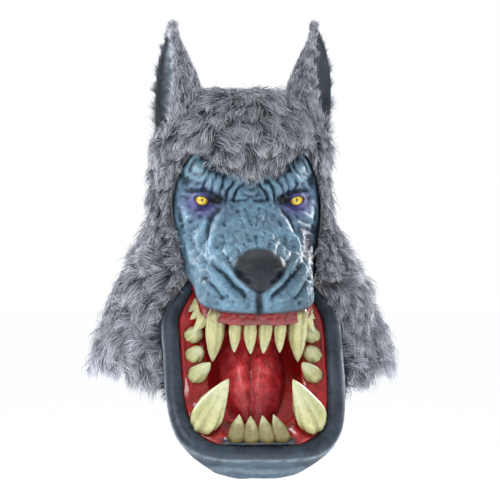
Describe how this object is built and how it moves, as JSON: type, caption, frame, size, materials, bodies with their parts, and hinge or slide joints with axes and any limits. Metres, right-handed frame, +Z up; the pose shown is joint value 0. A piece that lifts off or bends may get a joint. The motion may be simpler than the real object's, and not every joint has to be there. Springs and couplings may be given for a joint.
{
  "type": "werewolf mask",
  "caption": "Over-the-head werewolf costume mask: a shaggy fur hood with tall ears, a wrinkled face skin with a snout, and a wide open jaw with teeth and tongue.",
  "frame": {"origin": "where the top of the wearer's head meets the inside of the hood", "axes": "+Z up along the wearer's head, +X towards the mask's own left; the mask faces -Y"},
  "size_m": [0.442, 0.4048, 0.6603],
  "materials": {
    "grey_fur": "matte",
    "ear_skin": "satin",
    "face_skin": "satin",
    "nose_paint": "satin",
    "jaw_skin": "satin",
    "mouth_red": "glossy",
    "tooth": "satin",
    "eye_yellow": "glossy"
  },
  "bodies": {
    "root": {"ear_left": "grey_fur", "ear_lining_left": "ear_skin", "ear_lining_right": "ear_skin", "ear_right": "grey_fur", "eye_left": "eye_yellow", "eye_right": "eye_yellow", "face_skin": "face_skin", "fur_hood": "grey_fur", "jaw_skin": "jaw_skin", "lower_canine_left": "tooth", "lower_canine_right": "tooth", "lower_gum": "mouth_red", "lower_incisor_inner_left": "tooth", "lower_incisor_inner_right": "tooth", "lower_incisor_outer_left": "tooth", "lower_incisor_outer_right": "tooth", "lower_side_back_left": "tooth", "lower_side_back_right": "tooth", "lower_side_front_left": "tooth", "lower_side_front_right": "tooth", "lower_side_middle_left": "tooth", "lower_side_middle_right": "tooth", "mouth_lining": "mouth_red", "nose": "nose_paint", "tongue": "mouth_red", "upper_canine_left": "tooth", "upper_canine_right": "tooth", "upper_gum": "mouth_red", "upper_incisor_inner_left": "tooth", "upper_incisor_inner_right": "tooth", "upper_incisor_outer_left": "tooth", "upper_incisor_outer_right": "tooth", "upper_side_back_left": "tooth", "upper_side_back_right": "tooth", "upper_side_front_left": "tooth", "upper_side_front_right": "tooth", "upper_side_middle_left": "tooth", "upper_side_middle_right": "tooth"}
  },
  "joints": []
}
